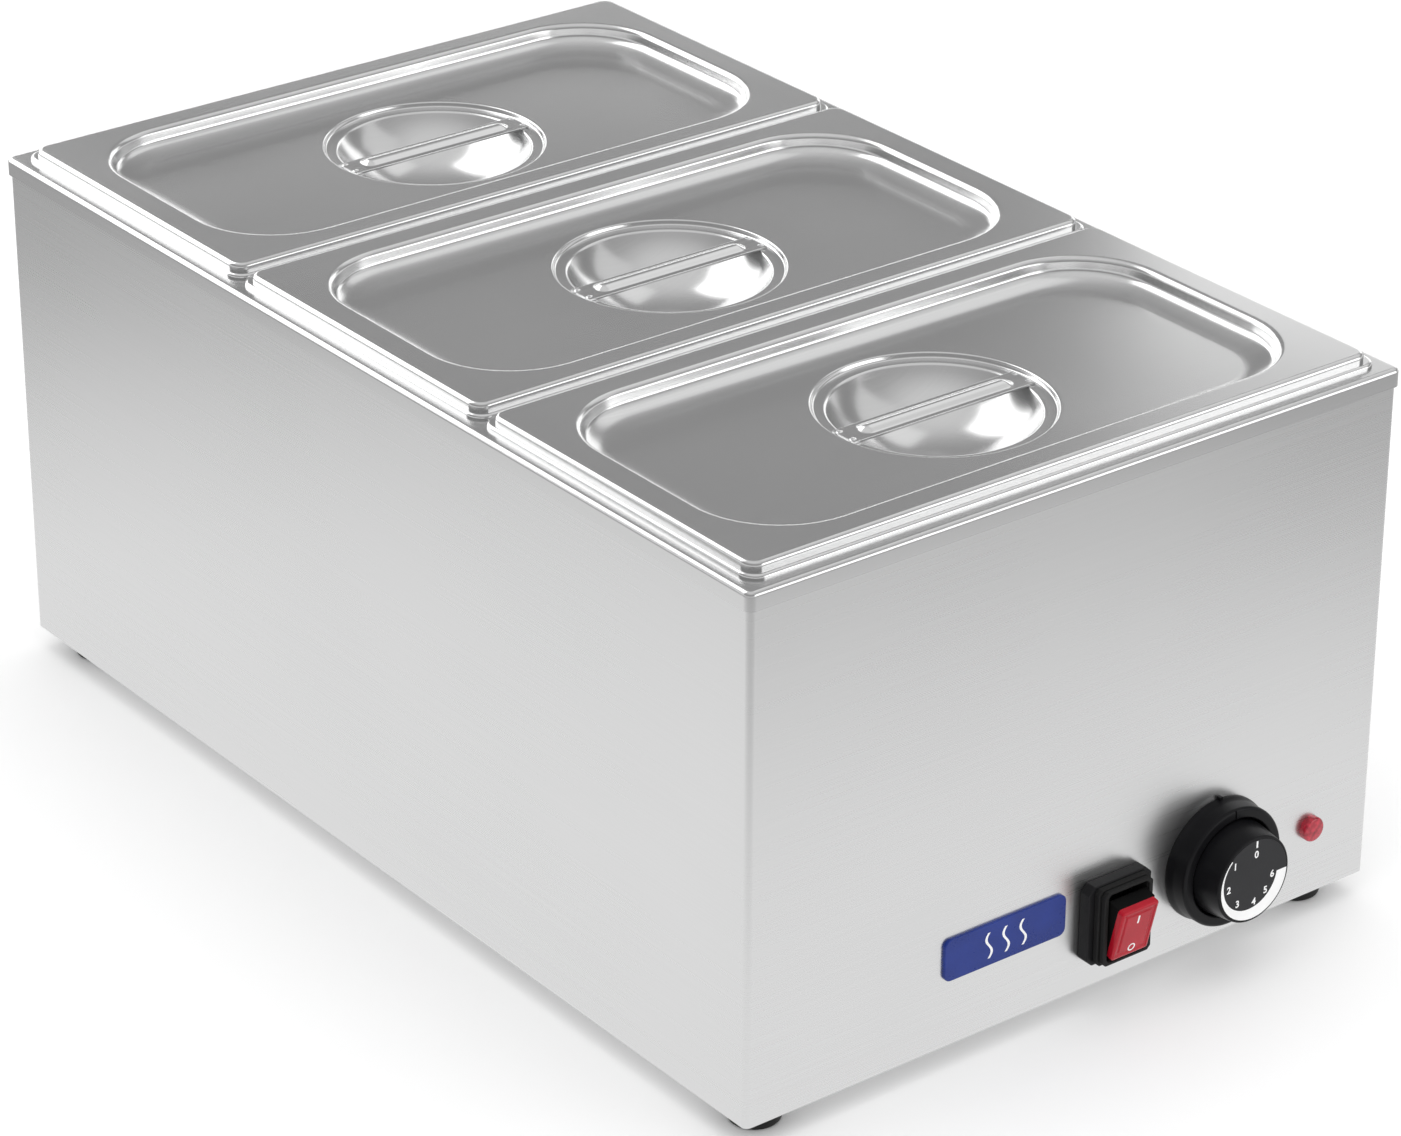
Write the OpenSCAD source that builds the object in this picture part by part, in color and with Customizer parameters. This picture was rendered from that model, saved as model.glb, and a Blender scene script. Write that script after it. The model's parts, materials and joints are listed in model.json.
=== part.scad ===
// Electric buffet server: a counter-top water-bath food warmer with three lidded
// gastronorm pans side by side, a low control panel on the front and rubber feet.
// X is the width, Y the length (controls at -Y), Z up. Feet stand on Z = 0.

/* [Gastronorm pans] */
// Pan size across the unit (one-third gastronorm, long side)
pan_x = 325; // [320:0.5:326]
// Pan size along the unit (one-third gastronorm, short side)
pan_y = 176; // [172:0.5:176]
// Distance between neighbouring pans
pan_pitch = 176.7; // [176.5:0.1:177.5]
// Depth of a pan
pan_depth = 150; // [100:5:150]
// Corner radius of a pan's rim
pan_corner = 8; // [6:0.5:14]
// Sheet thickness of pans and lids
thin = 0.8; // [0.6:0.1:1]

/* [Body] */
// Body width
body_w = 335; // [334:0.5:336]
// Body length
body_l = 540; // [538:0.5:544]
// Height of the body's bottom edge above the table
body_bottom = 12; // [11:0.5:14]
// Height of the tank flange above the table
flange_top = 248; // [240:0.5:256]
// Corner radius of the body
body_corner = 2.8; // [2.2:0.1:5]
// Corner radius of the tank flange
flange_corner = 3.6; // [3.2:0.1:6]
// Sheet thickness of body and tank
sheet = 1; // [0.8:0.1:1.2]
// Height of the flange's turned-down edge
skirt_h = 8; // [6:0.5:12]
// Overhang of the flange past the body
overhang = 1.2; // [1.1:0.1:1.6]

/* [Tank] */
// Tank opening across the unit
tank_x = 307; // [306:0.5:308]
// Tank opening along the unit
tank_y = 509; // [508:0.5:510]
// Height of the tank floor
tank_floor = 76; // [76:0.5:84]

/* [Lids] */
// Lid size across the unit
lid_x = 320; // [316:0.5:321]
// Lid size along the unit
lid_y = 169; // [166:0.5:171]
// Corner radius of a lid
lid_corner = 6.5; // [5:0.5:10]
// Depth of the lid's sunken tray
tray_depth = 9.3; // [8:0.1:11]
// Radius of the finger bowl
bowl_r = 43.2; // [40:0.1:44]
// Depth of the finger bowl below the lid's top
bowl_depth = 33; // [28:0.5:40]

/* [Controls] */
// Knob centre across the unit
knob_x = 79.3; // [70:0.1:85]
// Knob centre height
knob_z = 49; // [46:0.1:50]
// How far the knob stands out of the panel
knob_out = 23.5; // [21:0.5:28]
// Switch centre across the unit
switch_x = 21.3; // [10:0.1:25]
// Switch centre height
switch_z = 43.9; // [40:0.1:48]
// Tilt of the rocker at rest
rocker_tilt = 14; // [8:0.5:14]
// Indicator lamp centre across the unit
lamp_x = 133.4; // [125:0.1:140]
// Indicator lamp centre height
lamp_z = 44.6; // [40:0.1:50]

/* [Feet] */
// Foot radius at the top
foot_r = 11.6; // [10:0.1:13]
// Distance from a foot's centre to the body's sides
foot_inset = 20.6; // [18:0.1:24]

/* [Inlet] */
// Cable gland position across the unit
gland_x = 110; // [60:1:125]
// Cable gland height
gland_z = 45; // [35:1:52]
// Bore radius of the cable gland
gland_r = 4.2; // [3:0.1:5]

/* [Hidden] */
$fn = 48;
gland_out = 14;
y0 = (knob_out - gland_out)/2;
fy = y0 - body_l/2;
ry = y0 + body_l/2;
lip_top = flange_top + 2;
lid_top = flange_top + 5.5;
rows = [-pan_pitch, 0, pan_pitch];
body_top = flange_top - sheet - 0.5;
tank_under = tank_floor - sheet;
spread_under = tank_under - 1;
elem_z = spread_under - 4.4;
clamp_top = elem_z - 4.4;
runs = [-90, -30, 30, 90];
run_half = 185;
clamp_rows = [-140, 0, 140];
plate_top = body_bottom + sheet;
lip_z = plate_top + sheet;
foot_xy = [body_w/2 - foot_inset, body_l/2 - foot_inset];
base_screw_xy = [[-154, 90], [154, 90], [-154, -90], [154, -90],
    [-60, 257], [60, 257], [-60, -257], [60, -257]];
pivot_out = 7;
block_xy = [70, 205];

// ---- helpers ----
function unit(v) = v/norm(v);
function side(v) = [-v[1], v[0]];
function seg_n(p, i) = side(unit(p[i + 1] - p[i]));
function mitre(p, i, t) = let (a = seg_n(p, i - 1), b = seg_n(p, i), m = unit(a + b))
    p[i] + m*t/(m*a);
function shifted(p, t) = [for (i = [0:len(p) - 1])
    i == 0 ? p[0] + seg_n(p, 0)*t
    : i == len(p) - 1 ? p[i] + seg_n(p, i - 1)*t
    : mitre(p, i, t)];
function back_order(p) = [for (i = [len(p) - 1:-1:0]) p[i]];
function band(p, t) = concat(p, back_order(shifted(p, t)));
function arc(c, r, a, b, n) = [for (i = [0:n]) c + r*[cos(a + (b - a)*i/n), sin(a + (b - a)*i/n)]];

// rounded rectangle from half sizes and corner radius
module pad(hx, hy, r) {
    square([2*hx, 2*(hy - r)], center = true);
    square([2*(hx - r), 2*hy], center = true);
    for (i = [-1, 1], j = [-1, 1])
        translate([i*(hx - r), j*(hy - r)]) circle(r);
}

module slab(hx, hy, r, z, t) {
    translate([0, 0, z]) linear_extrude(t) pad(hx, hy, r);
}

// one profile carried round a rounded rectangle; its x is measured from the corner centres
module around(hx, hy, r) {
    for (q = [[1, 1, 0], [-1, 1, 90], [-1, -1, 180], [1, -1, 270]])
        translate([q[0]*(hx - r), q[1]*(hy - r), 0]) rotate([0, 0, q[2]])
            rotate_extrude(angle = 90) children();
    for (q = [[hx - r, hy - r, 0], [hy - r, hx - r, 90], [hx - r, hy - r, 180], [hy - r, hx - r, 270]])
        rotate([0, 0, q[2]]) translate([q[0], q[1], 0]) rotate([90, 0, 0])
            linear_extrude(2*q[1]) children();
}

// local Z points out of the front panel, local Y up
module on_front(x, z) {
    translate([x, fy, z]) rotate([90, 0, 0]) children();
}

// local Z points out of the rear panel
module on_rear(x, z) {
    translate([x, ry, z]) rotate([-90, 0, 0]) children();
}

module box(hx, hy, z, t) {
    translate([-hx, -hy, z]) cube([2*hx, 2*hy, t]);
}

module octagon(hx, hy, c) {
    polygon([[c - hx, -hy], [hx - c, -hy], [hx, c - hy], [hx, hy - c],
        [hx - c, hy], [c - hx, hy], [-hx, hy - c], [-hx, c - hy]]);
}

// route through points, each corner turned as a short curve that starts and ends at bend
function rounded(p, bend, n) = [for (i = [0:len(p) - 1], k = [0:(i == 0 || i == len(p) - 1 ? 0 : n)])
    i == 0 || i == len(p) - 1 ? p[i]
    : let (a = unit(p[i - 1] - p[i])*bend, b = unit(p[i + 1] - p[i])*bend, s = k/n)
        p[i] + a*(1 - s)*(1 - s) + b*s*s];

// direction of a route at one of its points
function heading(q, i) = unit(q[min(i + 1, len(q) - 1)] - q[max(i - 1, 0)]);

// flexible wire: an octagonal tube swept along a route that never runs straight up
module wire(p, r, bend) {
    q = rounded(p, bend, 4);
    n = 8;
    rings = [for (i = [0:len(q) - 1])
        let (t = heading(q, i), u = unit(cross(t, [0, 0, 1])), v = cross(u, t))
            for (k = [0:n - 1]) q[i] + r*(u*cos(360*k/n) + v*sin(360*k/n))];
    last = n*(len(q) - 1);
    walls = [for (i = [0:len(q) - 2], k = [0:n - 1], h = [0, 1])
        let (a = n*i + k, b = n*i + (k + 1)%n)
            h == 0 ? [a, b, b + n] : [a, b + n, a + n]];
    caps = [[for (k = [n - 1:-1:0]) k], [for (k = [0:n - 1]) last + k]];
    polyhedron(points = rings, faces = concat(walls, caps));
}

// ---- body ----
module body_shell() {
    hx = body_w/2;
    hy = body_l/2;
    color([0.8, 0.8, 0.79]) difference() {
        translate([0, y0, 0]) union() {
            difference() {
                slab(hx, hy, body_corner, body_bottom, body_top - body_bottom);
                slab(hx - sheet, hy - sheet, body_corner - sheet, body_bottom - 1, body_top);
            }
            difference() {
                slab(hx - sheet, hy - sheet, body_corner - sheet, plate_top, sheet);
                slab(hx - 30, hy - 30, 6, plate_top - 1, sheet + 2);
            }
            difference() {
                slab(hx - sheet, hy - sheet, body_corner - sheet, flange_top - 2*sheet, sheet);
                slab(hx - 9, hy - 9, 4, body_top - 10, 20);
            }
        }
        on_front(switch_x, switch_z) box(13, 16.6, -5, 10);
        on_front(lamp_x, lamp_z) translate([0, 0, -5]) cylinder(r = 4.1, h = 10);
        on_front(knob_x, knob_z) {
            translate([0, 0, -5]) cylinder(r = 5.2, h = 10);
            for (i = [-14, 14]) translate([i, 0, -5]) cylinder(r = 2.2, h = 10);
        }
        on_rear(gland_x, gland_z) translate([0, 0, -5]) cylinder(r = 7.9, h = 10);
        base_holes(1.5);
        foot_holes(2.2);
    }
}

module base_holes(r) {
    for (q = base_screw_xy)
        translate([q[0], y0 + q[1], body_bottom - 5]) cylinder(r = r, h = 12);
}

module foot_holes(r) {
    for (i = [-1, 1], j = [-1, 1])
        translate([i*foot_xy[0], y0 + j*foot_xy[1], body_bottom - 5]) cylinder(r = r, h = 12);
}

module base_plate() {
    color([0.7, 0.71, 0.71]) difference() {
        translate([0, y0, 0]) slab(body_w/2 - sheet - 0.3, body_l/2 - sheet - 0.3, 2.7, body_bottom, sheet);
        base_holes(1.8);
        foot_holes(2.2);
        for (i = [-50:20:50], j = [-70, 70])
            translate([i - 3, y0 + j - 20, body_bottom - 5]) cube([6, 40, 12]);
        translate([-60, y0 + 180, body_bottom - 5]) cylinder(r = 2.05, h = 12);
        for (i = [-8, 8])
            translate([block_xy[0] + i, y0 + block_xy[1], body_bottom - 5]) cylinder(r = 1.5, h = 12);
    }
}

module base_screws() {
    color([0.72, 0.72, 0.72]) for (q = base_screw_xy)
        translate([q[0], y0 + q[1], 0]) {
            translate([0, 0, body_bottom - 1.8]) cylinder(r = 3, h = 1.8);
            translate([0, 0, body_bottom]) cylinder(r = 1.45, h = 6);
        }
}

// ---- feet ----
module foot(i, j) {
    color([0.06, 0.06, 0.06]) translate([i*foot_xy[0], y0 + j*foot_xy[1], 0])
        rotate_extrude() polygon([[6, 0], [foot_r - 1.8, 0], [foot_r - 0.6, 1], [foot_r, body_bottom],
            [2.3, body_bottom], [2.3, 6], [6, 6]]);
}

module at_feet() {
    for (i = [-1, 1], j = [-1, 1])
        translate([i*foot_xy[0], y0 + j*foot_xy[1], 0]) children();
}

module foot_washers() {
    color([0.75, 0.75, 0.75]) at_feet() difference() {
        translate([0, 0, 5]) cylinder(r = 5.5, h = 1);
        translate([0, 0, 4]) cylinder(r = 2.3, h = 3);
    }
}

module foot_screws() {
    color([0.7, 0.7, 0.7]) at_feet() {
        translate([0, 0, 2.6]) cylinder(r = 3.6, h = 2.4);
        translate([0, 0, 5]) cylinder(r = 2, h = lip_z + 5 - 5);
    }
}

module foot_nuts() {
    color([0.75, 0.74, 0.7]) at_feet() difference() {
        translate([0, 0, lip_z]) cylinder(r = 4, h = 3.2, $fn = 6);
        translate([0, 0, lip_z - 1]) cylinder(r = 2.05, h = 6);
    }
}

// ---- tank ----
module water_tank() {
    hx = body_w/2 + overhang;
    hy = body_l/2 + overhang;
    tx = tank_x/2;
    ty = tank_y/2;
    rim = concat([[flange_corner, flange_top - skirt_h]],
        arc([flange_corner - 2, flange_top - 2], 2, 0, 90, 4), [[flange_corner - 2.5, flange_top]]);
    well = concat([[23.5, flange_top]], arc([23, flange_top - 3], 3, 90, 180, 5),
        arc([8, tank_floor + 12], 12, 0, -90, 6), [[7.5, tank_floor]]);
    color([0.78, 0.78, 0.77]) translate([0, y0, 0]) {
        around(hx, hy, flange_corner) polygon(band(rim, sheet));
        difference() {
            slab(hx - 2.5, hy - 2.5, flange_corner - 2.5, flange_top - sheet, sheet);
            slab(tx + 3.5, ty + 3.5, 23.5, flange_top - 5, 10);
        }
        around(tx, ty, 20) polygon(band(well, sheet));
        slab(tx - 12.5, ty - 12.5, 7.5, tank_floor - sheet, sheet);
    }
}

// ---- pans ----
module pan() {
    hx = pan_x/2;
    hy = pan_y/2;
    ix = hx - 11.8;
    iy = hy - 12.8;
    low = lip_top - pan_depth + thin;
    lip = concat([[pan_corner, flange_top]], arc([pan_corner - 1.2, lip_top - 1.2], 1.2, 0, 90, 3),
        [[pan_corner - 1.7, lip_top]]);
    wall = concat([[31, lip_top]], arc([30.5, lip_top - 2.5], 2.5, 90, 180, 4),
        arc([8, low + 14], 14, 4, -90, 6), [[7.5, low]]);
    around(hx, hy, pan_corner) polygon(band(lip, thin));
    difference() {
        slab(hx - 1.7, hy - 1.7, pan_corner - 1.7, lip_top - thin, thin);
        slab(ix + 3, iy + 3, 31, lip_top - 5, 10);
    }
    around(ix, iy, 28) polygon(band(wall, thin));
    slab(ix - 20.5, iy - 20.5, 7.5, low - thin, thin);
}

module pan_at(k) {
    color([0.8, 0.8, 0.8]) translate([0, y0 + rows[k], 0]) pan();
}

// ---- lids ----
module lid() {
    hx = lid_x/2;
    hy = lid_y/2;
    floor_z = lid_top - tray_depth;
    ledge = floor_z - 2.2;
    edge = concat([[lid_corner, lip_top]], arc([lid_corner - 2, lid_top - 2], 2, 0, 90, 4),
        [[lid_corner - 2.5, lid_top]]);
    ramp_r = 26.3;
    tray = concat([[42.5, lid_top]], arc([42, lid_top - 3], 3, 90, 180, 4),
        arc([26, floor_z + ramp_r], ramp_r, -62.4, -90, 4), [[25.5, floor_z]]);
    step = concat([[52, floor_z]], arc([51, floor_z - 1], 1, 90, 180, 3),
        [[49.6, ledge + 0.3], [49.2, ledge]]);
    dish_flat = 4;
    dish_turn = 2*atan((ledge - lid_top + bowl_depth)/(bowl_r + 2 - dish_flat));
    dish_r = (bowl_r + 2 - dish_flat)/sin(dish_turn) - 2;
    dish = concat(arc([bowl_r + 2, ledge - 2], 2, 90, 90 + dish_turn, 4),
        arc([dish_flat, lid_top - bowl_depth + dish_r], dish_r, dish_turn*7/8 - 90, -90, 7),
        [[0, lid_top - bowl_depth]]);
    around(hx, hy, lid_corner) polygon(band(edge, thin));
    difference() {
        slab(hx - 2.5, hy - 2.5, lid_corner - 2.5, lid_top - thin, thin);
        slab(hx - 12.5, hy - 11, 42.5, lid_top - 5, 10);
    }
    around(hx - 13, hy - 11.5, 42) polygon(band(tray, thin));
    difference() {
        slab(hx - 29.5, hy - 28, 25.5, floor_z - thin, thin);
        translate([0, 0, floor_z - 5]) cylinder(r = 52, h = 10);
    }
    rotate_extrude() polygon(band(concat(step, dish), thin));
}

module lid_at(k) {
    color([0.72, 0.72, 0.72]) translate([0, y0 + rows[k], 0]) lid();
}

// spot-welded strip handle with a raised rib, lying across the finger bowl
module handle_at(k) {
    z = lid_top - tray_depth - 2.2;
    color([0.75, 0.75, 0.74]) translate([0, y0 + rows[k], z]) {
        difference() {
            union() {
                translate([-47.5, -7, 0]) cube([95, 14, 1]);
                hull() for (i = [-1, 1]) translate([i*34.5, 0, 0.5]) cylinder(r1 = 5.6, r2 = 4, h = 2.3);
            }
            hull() for (i = [-1, 1]) translate([i*34.5, 0, -1]) cylinder(r1 = 5.6, r2 = 3.4, h = 2.9);
        }
        for (i = [-1, 1], j = [-1, 1])
            translate([i*46, j*4.3, 0.5]) cylinder(r = 1.1, h = 0.8);
    }
}

// ---- heating ----
module heat_spreader() {
    color([0.8, 0.8, 0.82]) difference() {
        translate([0, y0, 0]) box(112, 215, spread_under, 1);
        clamp_holes(2.7);
    }
}

module clamp_holes(r) {
    for (i = [-60, 0, 60], j = clamp_rows)
        translate([i, y0 + j, clamp_top - 12]) cylinder(r = r, h = 40);
}

module heating_element() {
    color([0.45, 0.42, 0.38]) translate([0, y0, elem_z]) {
        for (x = runs) translate([x, run_half, 0]) rotate([90, 0, 0]) cylinder(r = 4, h = 2*run_half);
        for (q = [[-60, run_half, 0], [60, run_half, 0], [0, -run_half, 180]])
            translate([q[0], q[1], 0]) rotate([0, 0, q[2]])
                rotate_extrude(angle = 180) translate([30, 0]) circle(4);
    }
}

module element_insulators() {
    color([0.92, 0.9, 0.85]) for (x = [-90, 90])
        translate([x, y0 - run_half, elem_z]) rotate([90, 0, 0]) cylinder(r = 4.2, h = 10);
}

module element_pins() {
    color([0.6, 0.6, 0.58]) for (x = [-90, 90])
        translate([x, y0 - run_half - 10, elem_z]) rotate([90, 0, 0]) cylinder(r = 1.8, h = 14);
}

module clamp_bars() {
    color([0.68, 0.68, 0.68]) difference() {
        for (j = clamp_rows) translate([-104, y0 + j - 8, clamp_top - 1.5]) cube([208, 16, 1.5]);
        clamp_holes(2.7);
    }
}

module clamp_studs() {
    color([0.72, 0.72, 0.7]) for (i = [-60, 0, 60], j = clamp_rows)
        translate([i, y0 + j, clamp_top - 8]) cylinder(r = 2.5, h = tank_under - clamp_top + 8);
}

module clamp_nuts() {
    color([0.76, 0.75, 0.7]) difference() {
        for (i = [-60, 0, 60], j = clamp_rows)
            translate([i, y0 + j, clamp_top - 5.5]) cylinder(r = 4.6, h = 4, $fn = 6);
        clamp_holes(2.55);
    }
}

module safety_cutout() {
    color([0.15, 0.14, 0.13]) translate([0, y0 + 70, 0]) {
        translate([0, 0, spread_under - 12]) cylinder(r = 9, h = 10);
        translate([0, 0, spread_under - 2]) cylinder(r = 7, h = 2);
        for (i = [-1, 1]) translate([i*5 - 3, -0.4, spread_under - 20]) cube([6, 0.8, 8.2]);
    }
}

// ---- thermostat and knob ----
module thermostat_body() {
    color([0.83, 0.82, 0.78]) on_front(knob_x, knob_z) difference() {
        union() {
            box(21, 19, -sheet - 1.5, 1.5);
            box(19, 17, -sheet - 30, 28.5);
            translate([0, 0, -sheet]) cylinder(r = 5, h = sheet + 2.4);
            for (i = [-8, 0, 8]) translate([i - 3, -9, -sheet - 38]) cube([6, 0.8, 8.1]);
        }
        translate([0, 0, -10]) cylinder(r = 3.05, h = 20);
        for (i = [-14, 14]) translate([i, 0, -12]) cylinder(r = 2.05, h = 20);
    }
}

module thermostat_shaft() {
    color([0.7, 0.7, 0.68]) on_front(knob_x, knob_z) difference() {
        translate([0, 0, -9]) cylinder(r = 3, h = 25);
        translate([-4, 1.5, 8]) cube([8, 3, 10]);
    }
}

module thermostat_screws() {
    color([0.75, 0.75, 0.73]) on_front(knob_x, knob_z) for (i = [-14, 14]) translate([i, 0, 0]) {
        cylinder(r = 3.4, h = 1.8);
        translate([0, 0, -9]) cylinder(r = 2, h = 9);
    }
}

module sensor_tube() {
    x = knob_x - 14;
    y = fy + sheet + 30;
    color([0.72, 0.45, 0.3])
        wire([[x, y, 38], [x, y + 20, 38], [44, y0 - 165, 52], [44, y0 - 120, elem_z - 4],
            [44, y0 - 110, elem_z - 4]], 1, 5);
}

module sensor_bulb() {
    color([0.76, 0.5, 0.36]) translate([44, y0 - 30, elem_z - 4]) rotate([90, 0, 0]) cylinder(r = 3, h = 80);
}

module bulb_clips() {
    color([0.7, 0.7, 0.7]) for (j = [-95, -45]) translate([44, y0 + j, 0]) difference() {
        union() {
            translate([-5, -4, elem_z - 4]) cube([10, 8, spread_under - elem_z + 4]);
            translate([0, 4, elem_z - 4]) rotate([90, 0, 0]) cylinder(r = 5, h = 8);
        }
        translate([0, 5, elem_z - 4]) rotate([90, 0, 0]) cylinder(r = 4, h = 10);
        translate([-4, -5, elem_z - 4]) cube([8, 10, spread_under - elem_z + 3]);
        translate([-1, -5, elem_z - 12]) cube([2, 10, 6]);
    }
}

module knob_bezel() {
    color([0.09, 0.09, 0.1]) on_front(knob_x, knob_z) difference() {
        union() {
            rotate_extrude() polygon([[5.3, 0], [28, 0], [27.9, 1], [27.2, 3], [27.1, 9.8], [26.7, 10.6],
                [26, 11], [23, 11], [22.3, 10.4], [22.3, 2.4], [5.3, 2.4]]);
            translate([-0.8, 27.5, 0]) cube([1.6, 1.8, 2]);
        }
        translate([-0.45, 21, 10.4]) cube([0.9, 8, 2]);
        for (i = [-14, 14]) translate([i, 0, -1]) cylinder(r = 3.8, h = 5);
    }
}

module control_knob() {
    z1 = knob_out - 0.4;
    skin = concat([[21.5, 3]], [[21.3, 11]], arc([18.9, z1 - 0.8], 0.8, 0, 90, 4));
    color([0.05, 0.05, 0.055]) on_front(knob_x, knob_z) difference() {
        rotate_extrude() polygon(concat([[0, 3]], skin, [[0, z1]]));
        difference() {
            translate([0, 0, 2]) cylinder(r1 = 19.2, r2 = 17, h = z1 - 4.5);
            translate([0, 0, 1]) cylinder(r = 6.5, h = z1);
        }
        difference() {
            translate([0, 0, 2]) cylinder(r = 3.05, h = 14.2);
            translate([-4, 1.56, 8]) cube([8, 3, 10]);
        }
    }
}

module dial_plate() {
    color([0.24, 0.24, 0.25]) on_front(knob_x, knob_z)
        translate([0, 0, knob_out - 0.4]) cylinder(r = 18.8, h = 0.4);
}

// ---- switch ----
module switch_frame() {
    color([0.06, 0.06, 0.065]) on_front(switch_x, switch_z) difference() {
        union() {
            linear_extrude(5.8) octagon(17, 18.45, 3);
            box(12, 16.6, 5.8, 4.2);
        }
        box(10.6, 15.6, -1, 14);
        translate([-11.5, 0, pivot_out]) rotate([0, 90, 0]) cylinder(r = 1.25, h = 23);
    }
}

module switch_seal() {
    color([0.04, 0.04, 0.045]) on_front(switch_x, switch_z) {
        difference() {
            union() {
                linear_extrude(8.6) octagon(14.2, 17.9, 1.6);
                linear_extrude(11.2) octagon(13.1, 17.3, 1.6);
            }
            box(12, 16.6, 5, 5);
            box(10.6, 15.6, 5, 14);
            box(20, 20, -1, 6.8);
        }
    }
}

module switch_body() {
    color([0.1, 0.1, 0.1]) on_front(switch_x, switch_z) difference() {
        box(12.6, 16.2, -24, 24);
        box(10.6, 14.6, -4, 10);
    }
}

module switch_tabs() {
    color([0.78, 0.7, 0.45]) on_front(switch_x, switch_z) for (i = [-6, 6], j = [-9, 0, 9])
        translate([i - 0.4, j - 3.1, -33]) cube([0.8, 6.2, 9]);
}

module switch_pin() {
    color([0.7, 0.7, 0.7]) on_front(switch_x, switch_z) translate([-11.4, 0, pivot_out])
        rotate([0, 90, 0]) cylinder(r = 1.2, h = 22.8);
}

// rocker shapes are drawn level about the pivot, then tilted to their rest position
module tilted() {
    on_front(switch_x, switch_z) translate([0, 0, pivot_out]) rotate([rocker_tilt, 0, 0]) children();
}

module rocker_slice(p, w) {
    translate([-w, 0, 0]) rotate([90, 0, 90]) linear_extrude(2*w) polygon(p);
}

module rocker_base() {
    color([0.05, 0.05, 0.05]) tilted() difference() {
        rocker_slice([[-6, -5.5], [6, -5.5], [13.2, 0], [13.1, 5.8], [-13.1, 5.8], [-13.2, 0]], 10);
        translate([-12, 0, 0]) rotate([0, 90, 0]) cylinder(r = 1.25, h = 24);
    }
}

module rocker_cap() {
    color([0.85, 0.2, 0.22, 0.9]) tilted() difference() {
        rocker_slice([[-12.9, 5.8], [12.9, 5.8], [12.9, 8.3], [12.2, 9], [-12.2, 9], [-12.9, 8.3]], 9.9);
        difference() {
            box(7.6, 10.4, 8.6, 2);
            box(6.2, 8.8, 8, 3);
        }
    }
}

// ---- lamp and nameplate ----
module lamp_lens() {
    color([0.85, 0.18, 0.2, 0.9]) on_front(lamp_x, lamp_z)
        rotate_extrude() polygon([[0, 0], [5.6, 0], [5.6, 2.4], [5.2, 3.5], [4.4, 3.9], [0, 3.9]]);
}

module lamp_body() {
    color([0.15, 0.15, 0.15]) on_front(lamp_x, lamp_z) {
        translate([0, 0, -20]) cylinder(r = 4, h = 20);
        for (i = [-2, 2]) translate([i - 0.4, -1.5, -27]) cube([0.8, 3, 7.2]);
    }
}

module lamp_nut() {
    color([0.12, 0.12, 0.12]) on_front(lamp_x, lamp_z) difference() {
        translate([0, 0, -sheet - 2.5]) cylinder(r = 6.5, h = 2.5, $fn = 6);
        translate([0, 0, -10]) cylinder(r = 4.06, h = 20);
    }
}

module nameplate() {
    color([0.2, 0.3, 0.62]) on_front(-36.2, 52.4) linear_extrude(1.6) pad(32, 9.6, 3.5);
}

// ---- supply side ----
module terminal_block() {
    color([0.9, 0.9, 0.88]) translate([block_xy[0], y0 + block_xy[1], plate_top]) difference() {
        union() {
            box(26, 8, 0, 3);
            for (i = [-16, 0, 16]) translate([i, 0, 0]) box(6, 8, 0, 16);
        }
        for (i = [-16, 0, 16]) translate([i, 0, 0]) {
            translate([0, 10, 8]) rotate([90, 0, 0]) cylinder(r = 2.2, h = 20);
            translate([0, 0, 8]) cylinder(r = 2.1, h = 10);
        }
        for (i = [-8, 8]) translate([i, 0, -1]) cylinder(r = 1.6, h = 10);
    }
}

module terminal_screws() {
    color([0.8, 0.72, 0.4]) translate([block_xy[0], y0 + block_xy[1], plate_top])
        for (i = [-16, 0, 16]) translate([i, 0, 10.6]) cylinder(r = 2, h = 4);
}

module block_screws() {
    color([0.72, 0.72, 0.72]) translate([block_xy[0], y0 + block_xy[1], plate_top])
        for (i = [-8, 8]) translate([i, 0, 0]) {
            translate([0, 0, 3]) cylinder(r = 1.9, h = 1.6);
            translate([0, 0, -3]) cylinder(r = 1.45, h = 6);
        }
}

module gland_body() {
    color([0.08, 0.08, 0.08]) on_rear(gland_x, gland_z) difference() {
        union() {
            cylinder(r = 11, h = 4, $fn = 6);
            translate([0, 0, -13]) cylinder(r = 7.8, h = 13);
        }
        translate([0, 0, -20]) cylinder(r = gland_r, h = 40);
    }
}

module gland_cap() {
    color([0.07, 0.07, 0.07]) on_rear(gland_x, gland_z)
        rotate_extrude() polygon([[gland_r, 4], [9.6, 4], [9.6, 9], [8.8, 12],
            [6.6, gland_out], [gland_r, gland_out]]);
}

module gland_nut() {
    color([0.09, 0.09, 0.09]) on_rear(gland_x, gland_z) difference() {
        translate([0, 0, -sheet - 5]) cylinder(r = 11.5, h = 5, $fn = 6);
        translate([0, 0, -20]) cylinder(r = 7.86, h = 40);
    }
}

module earth_stud() {
    color([0.8, 0.7, 0.4]) translate([-60, y0 + 180, 0]) {
        translate([0, 0, body_bottom - 1.6]) cylinder(r = 4, h = 1.6);
        translate([0, 0, body_bottom]) cylinder(r = 2, h = 16);
        translate([0, 0, plate_top]) cylinder(r = 4, h = 3, $fn = 6);
    }
}

module wire_live() {
    color([0.5, 0.3, 0.15]) wire([[86, y0 + 201, 21], [86, y0 + 185, 21], [120, y0 + 150, 22],
        [120, y0 - 185, 22], [switch_x + 6, fy + 60, switch_z - 9],
        [switch_x + 6, fy + 33, switch_z - 9]], 1.3, 6);
}

module wire_neutral() {
    color([0.15, 0.3, 0.65]) wire([[70, y0 + 201, 21], [70, y0 + 185, 21], [70, y0 + 150, 28],
        [30, y0 - 150, 28], [switch_x - 6, fy + 60, switch_z], [switch_x - 6, fy + 33, switch_z]], 1.3, 6);
}

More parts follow.
